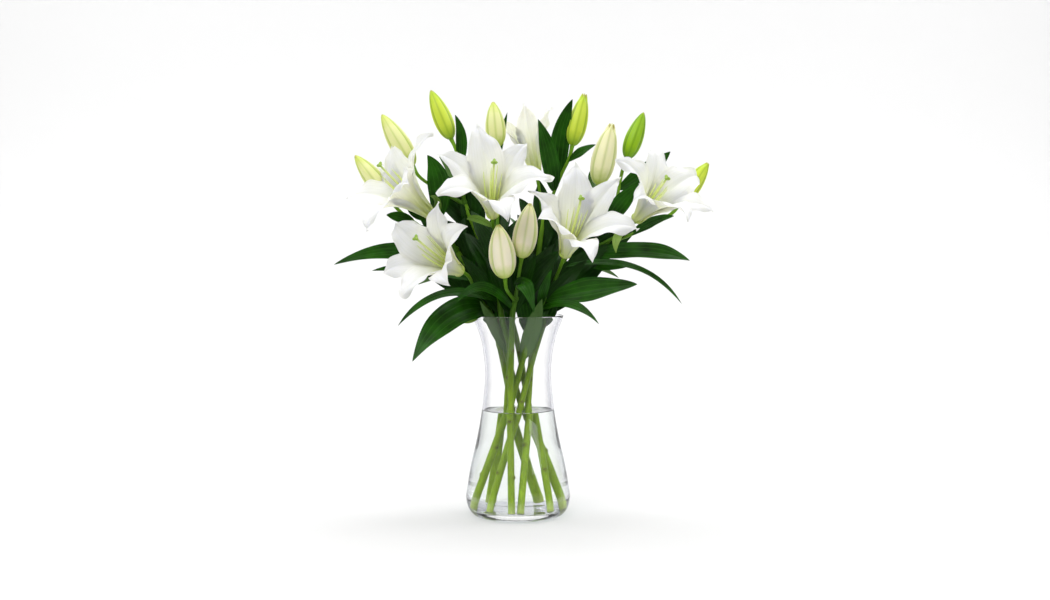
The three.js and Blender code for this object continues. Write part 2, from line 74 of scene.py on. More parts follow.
def smooth_line(points, count):
    """A centripetal Catmull-Rom curve through the points: between two of them it is the cubic whose end
    slopes come from the neighbours, weighted by the square roots of the spans. Evenly spaced by length."""
    p = np.asarray(points, float)
    p = np.vstack([2 * p[0] - p[1], p, 2 * p[-1] - p[-2]])
    span = np.sqrt(np.linalg.norm(np.diff(p, axis=0), axis=1))[:, None]
    a, b, c = span[:-2], span[1:-1], span[2:]
    start = ((p[1:-2] - p[:-3]) / a - (p[2:-1] - p[:-3]) / (a + b) + (p[2:-1] - p[1:-2]) / b) * b
    end = ((p[2:-1] - p[1:-2]) / b - (p[3:] - p[1:-2]) / (b + c) + (p[3:] - p[2:-1]) / c) * b
    t = np.linspace(0, 1, 33)[:-1][None, :, None]
    x1, x2, t1, t2 = (v[:, None, :] for v in (p[1:-2], p[2:-1], start, end))
    curve = x1 + t1 * t + (-3 * x1 + 3 * x2 - 2 * t1 - t2) * t**2 + (2 * x1 - 2 * x2 + t1 + t2) * t**3
    curve = np.vstack([curve.reshape(-1, p.shape[1]), p[-2]])
    run = np.concatenate([[0], np.cumsum(np.linalg.norm(np.diff(curve, axis=0), axis=1))])
    even = np.linspace(0, run[-1], count)
    return np.stack([np.interp(even, run, curve[:, k]) for k in range(p.shape[1])], 1)


def add(material, kind, settings=None, stops=(), **links):
    """Adds one shader node, sets its properties, input values and colour stops, and links its inputs."""
    node = material.node_tree.nodes.new("ShaderNode" + kind)
    if stops:
        points = node.color_ramp.elements
        points[0].position, points[1].position = stops[0][0], stops[-1][0]
        for position, _ in stops[1:-1]:
            points.new(position)
        for point, (_, colour) in zip(points, stops):
            point.color = linear(colour)
    for name, value in (settings or {}).items():
        if isinstance(name, str) and hasattr(node, name):
            setattr(node, name, value)
        else:
            node.inputs[name].default_value = value
    for name, source in links.items():
        key = int(name[3:]) if name.startswith("in_") else name.replace("_", " ")
        material.node_tree.links.new(source, node.inputs[key])
    return node


def new_material(name):
    material = bpy.data.materials.new(name)
    material.use_nodes = True
    material.node_tree.nodes.clear()
    return material


def finish_material(material, surface):
    output = add(material, "OutputMaterial")
    material.node_tree.links.new(surface, output.inputs["Surface"])
    return material


def loft(rings):
    """Faces of a skin over closed rings: quads between neighbouring rings and a fan to each end's own point.
    The first and last ring each count as one point."""
    rows, around = rings.shape[:2]
    k = np.arange(around)
    nxt = (k + 1) % around
    inner = np.arange(rows - 3)[:, None] * around + 1
    quads = np.stack([inner + k, inner + nxt, inner + around + nxt, inner + around + k], -1).reshape(-1, 4)
    last = (rows - 2) * around + 1
    fans = np.concatenate([np.stack([0 * k, 1 + nxt, 1 + k], 1),
                           np.stack([0 * k + last, last - around + k, last - around + nxt], 1)])
    points = np.vstack([rings[0].mean(0), rings[1:-1].reshape(-1, 3), rings[-1].mean(0)])
    return points, quads, fans


def make_piece(name, skins, material, nodes=(), sharp=50, marks=None):
    """One mesh object from skins given as ring grids in millimetres. Each mark is a value at every
    point. Where rings turn the wrong way about their own path, the faces are turned to look outwards."""
    points, faces, values, base = [], [], {key: [] for key in (marks or [{}])[0]}, 0
    for i, rings in enumerate(skins):
        p, quads, fans = loft(rings)
        centre = rings.mean(1, keepdims=True)
        axis = np.gradient(centre[:, 0], axis=0)[1:-1, None]
        spread = np.cross(rings[1:-1] - centre[1:-1], np.roll(rings, -1, 1)[1:-1] - centre[1:-1])
        flip = (spread * axis).sum() < 0
        for corners in (quads, fans):
            faces += ((corners[:, ::-1] if flip else corners) + base).tolist()
        points.append(p)
        base += len(p)
        for key in values:
            grid = np.broadcast_to(marks[i][key], rings.shape[:2])
            values[key].append(np.concatenate([[grid[0].mean()], grid[1:-1].ravel(), [grid[-1].mean()]]))
    mesh = bpy.data.meshes.new(name)
    mesh.from_pydata(np.vstack(points) * 0.001, [], faces)
    mesh.polygons.foreach_set("use_smooth", np.ones(len(mesh.polygons), bool))
    for key, parts in values.items():
        mesh.attributes.new(key, "FLOAT", "POINT").data.foreach_set("value", np.concatenate(parts))
    mesh.set_sharp_from_angle(angle=radians(sharp))
    mesh.materials.append(material)
    piece = bpy.data.objects.new(name, mesh)
    scene.collection.objects.link(piece)
    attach(piece, "root")
    if nodes:
        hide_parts(*nodes)
    return piece


def revolve(profile, around):
    """Rings of a solid of revolution about Z, one for each [radius, height] of the profile."""
    turn = np.linspace(0, 2 * np.pi, around, endpoint=False)
    r, z = np.asarray(profile, float).T
    return np.stack([r[:, None] * np.cos(turn), r[:, None] * np.sin(turn), z[:, None] + 0 * turn], -1)


rim_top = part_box("vase")[1][2] * 1000
outer = smooth_line(VASE_OUTLINE, 60)
inner = outer[::-1] - (VASE_WALL, 0)
lip_turn = np.linspace(0, np.pi, 9)[1:-1]
rim_radius, rim_height = outer[-1]
half_wall = VASE_WALL / 2
lip = np.stack([rim_radius - half_wall + half_wall * np.cos(lip_turn),
                rim_height + (rim_top - rim_height) * np.sin(lip_turn)], 1)
heel = smooth_line(VASE_HEEL[1:], 26)
bowl = smooth_line(VASE_BOWL, 34)
vase_profile = np.vstack([VASE_HEEL[:1], heel, outer, lip, inner, bowl])

# Clear soda-lime glass, mould-blown and fire-polished: colourless face on, faintly grey-lavender where the
# wall is seen edge on and light has the longest way through it. It lets lamps' light through. Its IOR is
# under the 1.5 of solid glass, so that the thin wall mirrors the room as weakly as the real one does.
clear_glass = new_material("clear_soda_lime_glass")
edge = add(clear_glass, "LayerWeight", {"Blend": 0.37})
tint = add(clear_glass, "ValToRGB", stops=[(0.3, "#ffffff"), (0.75, "#a2a3b4"), (0.95, "#3b3d4e")],
           in_0=edge.outputs["Facing"])
ripple = add(clear_glass, "TexCoord")
seeds = add(clear_glass, "TexNoise", {"Scale": 28.0, "Detail": 1.0}, Vector=ripple.outputs["Object"])
waviness = add(clear_glass, "Bump", {"Strength": 0.02, "Distance": 0.001}, Height=seeds.outputs[0])
glass = add(clear_glass, "BsdfPrincipled",
            {"Roughness": 0.0, "IOR": 1.34, "Transmission Weight": 1.0},
            Base_Color=tint.outputs[0], Normal=waviness.outputs[0])
lamp_light = add(clear_glass, "BsdfTransparent", {"Color": linear("#f4f5f6")})
rays = add(clear_glass, "LightPath")
pass_light = add(clear_glass, "MixShader", in_0=rays.outputs["Is Shadow Ray"],
                 in_1=glass.outputs[0], in_2=lamp_light.outputs[0])
finish_material(clear_glass, pass_light.outputs[0])
make_piece("glass_vase", [revolve(vase_profile, 128)], clear_glass, ["vase"], sharp=80)

# ---------------------------------------------------------------------------------------------
# Water. Clear still water up to the waist of the vase. It wets the glass, so its skin lies just inside
# the wall's inner face, and it climbs a little up the glass at its edge.
WATER_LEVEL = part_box("water")[1][2] * 1000
CLIMB = 1.6  # height of the curved edge where water meets glass, mm
SINK = 0.15  # how far the water's skin lies inside the glass, mm
BOWL_TOP = 28  # height at which the bowl's curve has become the wall, mm
wall_up, bowl_up = inner[::-1], bowl[::-1]
wet = wall_up[(wall_up[:, 1] > BOWL_TOP) & (wall_up[:, 1] < WATER_LEVEL)] + (SINK, 0)
wet_floor = bowl_up + np.stack([np.where(bowl_up[:, 0] > 1, SINK, 0), np.full(len(bowl_up), -SINK)], 1)
level_radius = np.interp(WATER_LEVEL + CLIMB, outer[:, 1], outer[:, 0]) - VASE_WALL + SINK
edge_run = np.array([0.0, 0.6, 1.4, 2.6, 4.5])
meniscus = np.stack([level_radius - edge_run, WATER_LEVEL + CLIMB * np.exp(-edge_run / 1.1)], 1)
water_profile = np.vstack([wet_floor, wet, meniscus, [(0, WATER_LEVEL)]])

clear_water = new_material("still_tap_water")
wet_glass = add(clear_water, "BsdfPrincipled", {
    "Base Color": linear("#f6faf8"), "Roughness": 0.0, "IOR": 1.333, "Transmission Weight": 1.0})
lamp_light = add(clear_water, "BsdfTransparent", {"Color": linear("#fbfdfc")})
rays = add(clear_water, "LightPath")
pass_light = add(clear_water, "MixShader", in_0=rays.outputs["Is Shadow Ray"],
                 in_1=wet_glass.outputs[0], in_2=lamp_light.outputs[0])
finish_material(clear_water, pass_light.outputs[0])
make_piece("vase_water", [revolve(water_profile, 128)], clear_water, ["water"], sharp=80)

# ---------------------------------------------------------------------------------------------
# Stems. Eight cut lily stems, 9 mm thick, stand crossed in the vase. Each is bare and smooth below, with
# the scars of its stripped leaves, and splits above the rim into thin stalks that carry flowers and buds.
STEM_RADIUS = 4.5
STALK_RADIUS = 2.3
STEM_FOOT_Z, WAIST_Z, STRAIGHT_TOP_Z, RIM_PASS_Z = 12, 165, 235, 285  # mm
WAIST_RADIUS, WAIST_TURN, STEM_LEAN = 15.5, 71, 0.293  # mm, degrees, sideways run per height
KNUCKLE_RADIUS, KNUCKLE_HALF_HEIGHT = 5.1, 5.6  # the swelling where a stem forks, mm
STALK_RUN = 330  # where a stalk's green starts on the stem's run of colour, mm from its foot

FLOWERS = {  # seat, axis, size, droop; each petal's turn (degrees), length (mm), bend back (degrees)
    "flower_left": ((-123, -5, 423), (-0.67, -0.47, 0.57), 1.0, (8, 0, 0), [
        (36, 135, 100), (102, 128, 90), (165, 129, 105), (234, 120, 65), (288, 126, 115), (324, 115, 85)]),
    "flower_low_left": ((-79, -60, 344), (-0.54, -0.77, 0.34), 1.0, (10, 0, 0), [
        (9, 113, 66), (69, 129, 80), (128, 130, 80), (184, 122, 66), (250, 117, 112), (302, 120, 104)]),
    "flower_top": ((-34, -60, 420), (0, -0.77, 0.64), 1.0, (2, 4, 0), [
        (38, 116, 90), (105, 132, 85), (165, 132, 95), (234, 135, 85), (294, 123, 85), (345, 129, 85)]),
    "flower_right_front": ((64, -65, 367), (0.2, -0.74, 0.64), 1.0, (10, 0, 0), [
        (297, 120, 70), (6, 129, 90), (52, 132, 75), (117, 129, 80), (180, 129, 90), (245, 132, 60)]),
    "flower_right": ((164, -25, 415), (0.45, -0.67, 0.59), 1.0, (-10, -20, 0), [
        (18, 117, 125), (72, 120, 120), (126, 116, 90), (189, 129, 75), (246, 125, 90), (296, 123, 95)]),
    "flower_back": ((25, 50, 485), (-0.2, 0.1, 0.97), 0.72, (0, 0, 0), [
        (0, 92, 35), (60, 95, 28), (120, 92, 25), (180, 96, 40), (240, 92, 62), (300, 95, 30)]),
}
BUDS = {  # foot, tip, greatest radius, finish, how far the tips part
    "bud_far_left": ((-179, 10, 442), (-229, 10, 505), 15, "green_cream", 0.0),
    "bud_left_high": ((-148, 20, 490), (-192, 20, 563), 16, "green_cream", 0.0),
    "bud_left_top": ((-94, 20, 528), (-123, 20, 597), 14, "green", 0.0),
    "bud_middle_top": ((-29, 10, 516), (-35, 10, 580), 15, "green_cream", 0.2),
    "bud_right_top": ((77, 40, 520), (95, 40, 595), 14.5, "green", 1.0),
    "bud_right_opening": ((112, 10, 463), (132, 10, 550), 18, "cream", 1.0),
    "bud_right_high": ((154, 30, 501), (178, 30, 567), 13.5, "deep_green", 0.0),
    "bud_far_right": ((226, 0, 438), (266, 0, 494), 14, "green", 0.4),
    "bud_front_left": ((-17, -80, 334), (-26, -84, 407), 19, "ivory", 0.3),
    "bud_front_right": ((5, -62, 361), (17, -66, 436), 17.5, "ivory", 0.2),
}
STEMS = {  # turn of the foot about the vase, point at the rim, points above, then each head and its bends
    "stem_1": (68, (-39, -17), [(-58, -16, 308)], {"flower_low_left": []}),
    "stem_2": (17, (-38, 19), [(-62, 30, 330), (-88, 28, 372)],
               {"flower_left": [], "bud_far_left": [(-142, 18, 408)]}),
    "stem_3": (326, (-14, 40), [(-40, 52, 350), (-78, 46, 440)], {"bud_left_high": [], "bud_left_top": []}),
    "stem_4": (None, (-7, -44), [(-3, -46, 306)], {"bud_front_left": [], "bud_front_right": []}),
    "stem_5": (120, (-23, -35), [(-27, -24, 340), (-30, -8, 385)],
               {"flower_top": [(-33, -26, 400)], "bud_middle_top": [(-27, 8, 470)]}),
    "stem_6": (274, (27, 32), [(28, 44, 350), (36, 50, 420)],
               {"flower_back": [], "bud_right_top": [(62, 48, 480)]}),
    "stem_7": (171, (26, -33), [(48, -24, 322)],
               {"flower_right_front": [(56, -36, 343)], "bud_right_opening": [(86, -4, 400)]}),
    "stem_8": (223, (43, -1), [(72, 16, 330), (112, 12, 378)],
               {"flower_right": [], "bud_right_high": [(138, 22, 440)], "bud_far_right": [(178, 6, 402)]}),
}
# The front stem stands almost upright, in front of the ones that cross.
UPRIGHT = [(-8, -50, 12), (-9, -39, 88), (-10, -28, 165), (-9, -35, 235)]


def unit(v):
    v = np.asarray(v, float)
    return v / np.linalg.norm(v, axis=-1, keepdims=True)


def crossed(foot_turn):
    """Points of a straight leaning rod: at the waist it touches a circle about the axis, and away from it
    the rod runs sideways along that circle's tangent in proportion to the height."""
    turn = radians(foot_turn + WAIST_TURN)
    z = np.array([STEM_FOOT_Z, (STEM_FOOT_Z + WAIST_Z) / 2, WAIST_Z, STRAIGHT_TOP_Z])
    run = STEM_LEAN * (z - WAIST_Z)
    return np.stack([WAIST_RADIUS * np.cos(turn) - run * np.sin(turn),
                     WAIST_RADIUS * np.sin(turn) + run * np.cos(turn), z], 1)


def frames(path):
    """Unit tangent along a path and two unit vectors across it, the first as near level as it can be."""
    tangent = unit(np.gradient(path, axis=0))
    level = unit(np.cross(tangent, (0.13, 1.0, 0.07)))
    return tangent, level, np.cross(tangent, level)


def tube(path, radius, around=20, swell=None):
    """Rings round a path: at each point a circle of that point's radius, square to the path, closed by a
    rounded end. The swelling adds to the radius as a function of distance and turn."""
    tangent, side, up = frames(path)
    turn = np.linspace(0, 2 * np.pi, around, endpoint=False)
    run = np.concatenate([[0], np.cumsum(np.linalg.norm(np.diff(path, axis=0), axis=1))])
    r = np.broadcast_to(radius, len(path))[:, None]
    r = r + (0 if swell is None else swell(run[:, None], turn[None]))
    rings = path[:, None] + r[..., None] * (np.cos(turn)[None, :, None] * side[:, None]
                                            + np.sin(turn)[None, :, None] * up[:, None])
    ends = [rings[:1] * 0 + path[0], (rings[:1] - path[0]) * 0.86 + path[0] - 0.25 * tangent[0], rings,
            (rings[-1:] - path[-1]) * 0.8 + path[-1] + 0.4 * tangent[-1],
            rings[-1:] * 0 + path[-1] + 0.5 * tangent[-1]]
    return np.vstack(ends), np.concatenate([[0, 0], run, run[-1:], run[-1:]])[:, None]


def head_start(head):
    """Where a head's stalk ends and which way it points there."""
    if head in FLOWERS:
        seat, axis = FLOWERS[head][:2]
        return np.array(seat) - 2.5 * unit(axis), unit(axis)
    foot, tip = BUDS[head][:2]
    return np.array(foot, float) + 1.2 * unit(np.subtract(tip, foot)), unit(np.subtract(tip, foot))


# Fresh lily stem: a smooth, faintly ribbed green skin with a dull wax, paler near the cut, and small dark
# scars where leaves were stripped. Fine streaks run along it.
stem_skin = new_material("fresh_lily_stem")
down = add(stem_skin, "Attribute", {"attribute_name": "run"})
scar = add(stem_skin, "Attribute", {"attribute_name": "scar"})
place = add(stem_skin, "TexCoord")
streaks = add(stem_skin, "Mapping", {"Scale": (1, 1, 0.06)}, Vector=place.outputs["Object"])
ribs = add(stem_skin, "TexNoise", {"Scale": 620.0, "Detail": 3.0}, Vector=streaks.outputs[0])
blotch = add(stem_skin, "TexNoise", {"Scale": 38.0, "Detail": 2.0}, Vector=place.outputs["Object"])
height_ramp = add(stem_skin, "MapRange", {"From Max": 420.0}, in_0=down.outputs["Fac"])
body = add(stem_skin, "ValToRGB", stops=[
    (0.0, "#b3c46a"), (0.03, "#86a41c"), (0.35, "#759410"), (0.62, "#3f660e"), (0.8, "#3c650e"),
    (1.0, "#6d9a20")], in_0=height_ramp.outputs[0])
light = add(stem_skin, "MixRGB", {"blend_type": "OVERLAY", "Fac": 0.4},
            Color1=body.outputs[0], Color2=ribs.outputs[0])
patchy = add(stem_skin, "MixRGB", {"blend_type": "OVERLAY", "Fac": 0.35},
             Color1=light.outputs[0], Color2=blotch.outputs[0])
scarred = add(stem_skin, "MixRGB", {"Color2": linear("#4c4119")},
              Fac=scar.outputs["Fac"], Color1=patchy.outputs[0])
rib_bump = add(stem_skin, "Bump", {"Strength": 0.25, "Distance": 0.0004}, Height=ribs.outputs[0])
stem_gloss = add(stem_skin, "BsdfPrincipled", {
    "Roughness": 0.42, "Specular IOR Level": 0.2, "Subsurface Weight": 0.06,
    "Subsurface Radius": (0.4, 1.0, 0.2), "Subsurface Scale": 0.002},
    Base_Color=scarred.outputs[0], Normal=rib_bump.outputs[0])
finish_material(stem_skin, stem_gloss.outputs[0])


def leaf_scars(run, turn, scars):
    """Low knobs: each is a bell in distance and turn about its own centre."""
    return sum(np.exp(-((run - at) / 2.2) ** 2 - (np.sin((turn - side) / 2) / 0.3) ** 2)
               for at, side in scars)


stem_paths, growth_lines = {}, []
for index, (name, (foot_turn, rim, above, heads)) in enumerate(STEMS.items()):
    standing = UPRIGHT if foot_turn is None else crossed(foot_turn)
    path = smooth_line([*standing, (*rim, RIM_PASS_Z), *above], 150)
    stem_paths[name] = path
    growth_lines.append(path)
    scars = [(46 + 37 * k + 9 * np.sin(3 * k + index), 2.4 * k + index) for k in range(7)]
    body_rings, run = tube(path, STEM_RADIUS - 0.6 * np.linspace(0, 1, len(path)), 24,
                           lambda d, t: 1.5 * leaf_scars(d, t, scars) + 0.12 * np.cos(5 * t + index))
    turn = np.linspace(0, 2 * np.pi, 24, endpoint=False)[None]
    skins, marks = [body_rings], [{"run": run, "scar": np.minimum(1, 0.95 * leaf_scars(run, turn, scars))}]
    fork = path[-1]
    for head, bends in heads.items():
        end, way = head_start(head)
        approach = min(18, 0.3 * np.linalg.norm(end - fork))
        stalk = smooth_line([fork - 4 * unit(path[-1] - path[-8]), *bends, end - approach * way, end], 60)
        growth_lines.append(stalk)
        swelling = 0.7 * np.exp(-np.linspace(0, 9, 60)) + 0.5 * np.exp(-np.linspace(9, 0, 60) * 1.2)
        rings, run = tube(stalk, STALK_RADIUS * (1 + swelling), 16)
        skins.append(rings)
        marks.append({"run": run + STALK_RUN, "scar": np.zeros((1, 16))})
    ball = np.linspace(0, np.pi, 13)
    knuckle = np.stack([KNUCKLE_RADIUS * np.sin(ball), -KNUCKLE_HALF_HEIGHT * np.cos(ball)], 1)
    skins.append(revolve(knuckle, 20) + fork)
    marks.append({"run": np.full((13, 20), float(STALK_RUN)), "scar": np.zeros((13, 20))})
    make_piece(f"lily_{name}", skins, stem_skin, [name], sharp=70, marks=marks)

# ---------------------------------------------------------------------------------------------
# Petals. Each flower has three broad inner and three narrower outer petals, waxy white with a deep
# midrib, ruffled edges and a yellow-green throat; they overlap in a trumpet and roll back at the tips.
INNER_WIDTH, OUTER_WIDTH, TUBE_RADIUS, WHORL_STEP, PETAL_LEAN = 52, 41, 6.5, 1.9, 12
PETAL_THICKNESS = 0.6
INNER_RAISE = 2.35  # the inner petals stand this much higher on the flower's axis


def petal_rings(turn, length, flare, width, start, seed):
    """A blade along a midrib that leans away from the axis by the square of its length. Across, it follows a
    circle about the axis that opens towards the tip, with a groove along the midrib between two low folds,
    and a wave that grows towards the edges. Its outline is a claw, a broad middle and a pointed tip."""
    s = np.concatenate([[0.0], np.linspace(0.004, 0.9, 62), np.linspace(0.91, 0.998, 14), [1.0]])
    fine = np.linspace(0, 1, 401)
    curl = 14 * np.clip((fine - 0.8) / 0.2, 0, 1) ** 2
    angle = np.radians(PETAL_LEAN + flare * fine**2 + curl)
    steps = length / 400
    radius = start + np.concatenate([[0], np.cumsum(np.sin((angle[1:] + angle[:-1]) / 2))]) * steps
    height = np.concatenate([[0], np.cumsum(np.cos((angle[1:] + angle[:-1]) / 2))]) * steps
    radius, height, angle = (np.interp(s, fine, v)[:, None] for v in (radius, height, angle))
    half = 22
    c = np.concatenate([np.linspace(-1, 1, half + 1), np.linspace(1, -1, half + 1)[1:-1]])[None]
    back = np.concatenate([np.zeros(half + 1), np.ones(half - 1)])[None]
    s = s[:, None]
    outline = 0.22 * (1 - s) ** 5 + np.sin(np.pi * s**1.18)
    limb = np.clip((s - 0.3) / 0.4, 0, 1) ** 1.5
    wobble = np.sin(2 * np.pi * (2.1 * s + 0.37 * seed) + 1.3 * np.sign(c))
    wobble += 0.6 * np.sin(2 * np.pi * (4.3 * s + 0.61 * seed) + 2.1 * np.sign(c))
    half_width = width / 2 * outline * (1 + 0.03 * np.sin(9 * s + seed + c))
    bend = radius + 70 * s**2
    swing = c * half_width / bend
    fold = -1.7 * np.exp(-((c / 0.1) ** 2)) + 2.2 * np.sin(np.pi * np.abs(c)) ** 1.5
    lift = (limb * np.abs(c) ** 2.2 * 4.2 * wobble + np.sin(np.pi * s) * fold) * width / 50
    skin = PETAL_THICKNESS / 2 * np.clip(4 * (1 - np.abs(c)), 0, 1) * np.clip(12 * (1 - s), 0, 1)
    lift += np.where(back > 0, -1, 1) * skin
    along_side = bend * np.sin(swing)
    inwards = bend * (1 - np.cos(swing)) + lift * np.cos(swing)
    along_side = along_side - lift * np.sin(swing)
    r = radius - np.cos(angle) * inwards
    z = height + np.sin(angle) * inwards
    a = radians(turn)
    rings = np.stack([r * np.cos(a) - along_side * np.sin(a), r * np.sin(a) + along_side * np.cos(a), z], -1)
    rings[0] = rings[0].mean(0)
    rings[-1] = rings[-1].mean(0)
    return rings, {"along": s + 0 * c, "across": c + 0 * s, "back": back + 0 * s}


def flower_basis(axis):
    """Rows that turn a flower's own up, side and axis directions into the frame's."""
    forward = unit(axis)
    side = unit(np.cross((0, 0, 1), forward))
    return np.array([np.cross(forward, side), side, forward])


# Lily petal: thick, waxy, faintly translucent tissue. Fine lengthwise veins about 2 mm apart catch the light,
# the throat is yellow-green and painted brighter as a glow, the tips are painted greyer as shade, and the back
# of the midrib is green near the stalk.
petal_skin = new_material("waxy_lily_petal")
along = add(petal_skin, "Attribute", {"attribute_name": "along"})
across = add(petal_skin, "Attribute", {"attribute_name": "across"})
back = add(petal_skin, "Attribute", {"attribute_name": "back"})
place = add(petal_skin, "TexCoord")
grid = add(petal_skin, "CombineXYZ", X=across.outputs["Fac"], Y=along.outputs["Fac"])
lines = add(petal_skin, "Mapping", {"Scale": (13, 1.6, 1)}, Vector=grid.outputs[0])
veins = add(petal_skin, "TexNoise", {"Scale": 1.0, "Detail": 3.0, "Roughness": 0.6}, Vector=lines.outputs[0])
wrinkles = add(petal_skin, "TexNoise", {"Scale": 90.0, "Detail": 4.0}, Vector=place.outputs["Object"])
# Painted light and shade along the petal: the yellow-green throat is painted extra bright as glow, and the
# tips are painted grey as shade.
throat_tint_glow_and_tip_shade = add(petal_skin, "ValToRGB", in_0=along.outputs["Fac"], stops=[
    (0.0, "#d3e852"), (0.12, "#e9f48e"), (0.3, "#f7f9d0"), (0.48, "#f5f5e8"), (0.75, "#eeede8"),
    (1.0, "#e2e1dd")])
rib = add(petal_skin, "Math", {"operation": "ABSOLUTE"}, in_0=across.outputs["Fac"])
rib_band = add(petal_skin, "MapRange", {"From Min": 0.3, "From Max": 0.0, "interpolation_type": "SMOOTHSTEP"},
               in_0=rib.outputs[0])
rib_reach = add(petal_skin, "MapRange", {"From Min": 0.75, "From Max": 0.05}, in_0=along.outputs["Fac"])
rib_green = add(petal_skin, "Math", {"operation": "MULTIPLY"},
                in_0=rib_band.outputs[0], in_1=rib_reach.outputs[0])
side_share = add(petal_skin, "MapRange", {"To Min": 0.35, "To Max": 0.75}, in_0=back.outputs["Fac"])
rib_amount = add(petal_skin, "Math", {"operation": "MULTIPLY"},
                 in_0=rib_green.outputs[0], in_1=side_share.outputs[0])
ribbed = add(petal_skin, "MixRGB", {"Color2": linear("#c5d47a")},
             Fac=rib_amount.outputs[0], Color1=throat_tint_glow_and_tip_shade.outputs[0])
vein_share = add(petal_skin, "MapRange", {"From Min": 0.62, "From Max": 0.4, "To Max": 0.34},
                 in_0=veins.outputs[0])
veined = add(petal_skin, "MixRGB", {"Color2": linear("#dcdccb")},
             Fac=vein_share.outputs[0], Color1=ribbed.outputs[0])
vein_bump = add(petal_skin, "Bump", {"Strength": 0.35, "Distance": 0.0006}, Height=veins.outputs[0])
skin_bump = add(petal_skin, "Bump", {"Strength": 0.12, "Distance": 0.0008}, Height=wrinkles.outputs[0],
                Normal=vein_bump.outputs[0])
petal_gloss = add(petal_skin, "BsdfPrincipled", {
    "Roughness": 0.45, "Specular IOR Level": 0.3, "Subsurface Weight": 0.7,
    "Subsurface Radius": (1.0, 0.95, 0.6), "Subsurface Scale": 0.008,
    "Sheen Weight": 0.08}, Base_Color=veined.outputs[0], Normal=skin_bump.outputs[0])
finish_material(petal_skin, petal_gloss.outputs[0])

for flower, (seat, axis, size, _, petals) in FLOWERS.items():
    basis = flower_basis(axis)
    for i, (turn, length, flare) in enumerate(petals):
        outer_petal = i % 2 == 0
        width = (OUTER_WIDTH if outer_petal else INNER_WIDTH) * size
        start = TUBE_RADIUS + (WHORL_STEP if outer_petal else 0)
        rings, mark = petal_rings(turn, length, flare, width, start, i + 7 * len(flower))
        rings[..., 2] += 0 if outer_petal else INNER_RAISE
        whorl = "outer" if outer_petal else "inner"
        make_piece(f"{flower}_{whorl}_petal_{i // 2 + 1}", [rings @ basis + seat], petal_skin,
                   [f"{flower}_{whorl}_petals"], sharp=75, marks=[mark])

# ---------------------------------------------------------------------------------------------
# Pistils and filaments. A green three-lobed stigma on a long pale style, six bare filaments whose pollen
# sacs have been picked off, and the green seat that the petals and the stalk grow from.
STYLE_LENGTH, FILAMENT_LENGTH = 102, 86
CUP = [(0.01, -4.5), (2.8, -4.4), (5.2, -3.6), (8.2, -0.8), (8.9, 1.6), (6, 4.6), (0.01, 5.6)]  # the seat

floret = new_material("pistil_tissue")
up_style = add(floret, "Attribute", {"attribute_name": "run"})
tone = add(floret, "MapRange", {"From Max": 100.0}, in_0=up_style.outputs["Fac"])
shade = add(floret, "ValToRGB", in_0=tone.outputs[0], stops=[
    (0.0, "#b3c65a"), (0.3, "#d3df84"), (0.85, "#dbe596"), (1.0, "#8fae3c")])
place = add(floret, "TexCoord")
grain = add(floret, "TexNoise", {"Scale": 900.0, "Detail": 2.0}, Vector=place.outputs["Object"])
grain_bump = add(floret, "Bump", {"Strength": 0.3, "Distance": 0.0003}, Height=grain.outputs[0])
floret_gloss = add(floret, "BsdfPrincipled", {
    "Roughness": 0.38, "Subsurface Weight": 0.2,
    "Subsurface Radius": (0.6, 1.0, 0.3), "Subsurface Scale": 0.002},
    Base_Color=shade.outputs[0], Normal=grain_bump.outputs[0])
finish_material(floret, floret_gloss.outputs[0])

STRAND_STEPS = np.linspace(0, 1, 40)
STYLE_RADII = np.interp(STRAND_STEPS, [0, 0.25, 0.32, 1], [2.6, 2.5, 1.4, 1.5])  # ovary, then the style
FILAMENT_RADII = np.interp(STRAND_STEPS, [0, 0.9, 1], [1.1, 0.65, 0.4])


def strand(radius, turn, length, droop, radii, foot):
    """A rod along a quadratic bend from near the axis to its own tip, which the droop moves. Gives the rod's
    rings, the distance along it and the tip."""
    way = np.array([np.cos(turn), np.sin(turn), 0])
    a, b = way * foot + (0, 0, 5), way * (radius * 0.6 + 2) + (0, 0, length * 0.55)
    c = way * radius + (0, 0, length) + droop
    t = STRAND_STEPS[:, None]
    return *tube((1 - t) ** 2 * a + 2 * t * (1 - t) * b + t**2 * c, radii, 10), c


for flower, (seat, axis, size, droop, _) in FLOWERS.items():
    basis = flower_basis(axis)
    style, run, tip = strand(0, 0, STYLE_LENGTH * size, np.array(droop), STYLE_RADII, 0)
    skins, marks = [style @ basis + seat], [{"run": run}]
    for i in range(6):
        reach = 12 + 3.5 * np.sin(2.3 * i + len(flower))
        turn = radians(60 * i + 30 + 16 * np.sin(4.1 * i))
        length = (FILAMENT_LENGTH - 9 * (i % 2)) * size
        filament, run, _ = strand(reach * size, turn, length, np.array(droop) * 0.7, FILAMENT_RADII, 4.2)
        skins.append(filament @ basis + seat)
        marks.append({"run": run})
    lobe_turn = np.linspace(0, 2 * np.pi, 24, endpoint=False)[None]
    rise = np.linspace(0, np.pi, 15)[:, None]
    lobe_r = 3.9 * np.sin(rise) * (1 + 0.3 * np.cos(3 * lobe_turn))
    lobe_z = -2.6 * np.cos(rise) + 0.7 * np.sin(rise) * np.cos(3 * lobe_turn)
    stigma = np.stack([lobe_r * np.cos(lobe_turn), lobe_r * np.sin(lobe_turn), lobe_z], -1) + tip
    skins.append(stigma @ basis + seat)
    marks.append({"run": np.full(stigma.shape[:2], 100.0)})
    skins.append(revolve(smooth_line(CUP, 24), 28) @ basis + seat)
    marks.append({"run": np.full((24, 28), 0.0)})
    make_piece(f"{flower}_pistil_and_filaments", skins, floret, [f"{flower}_pistil"], sharp=70,
               marks=marks)

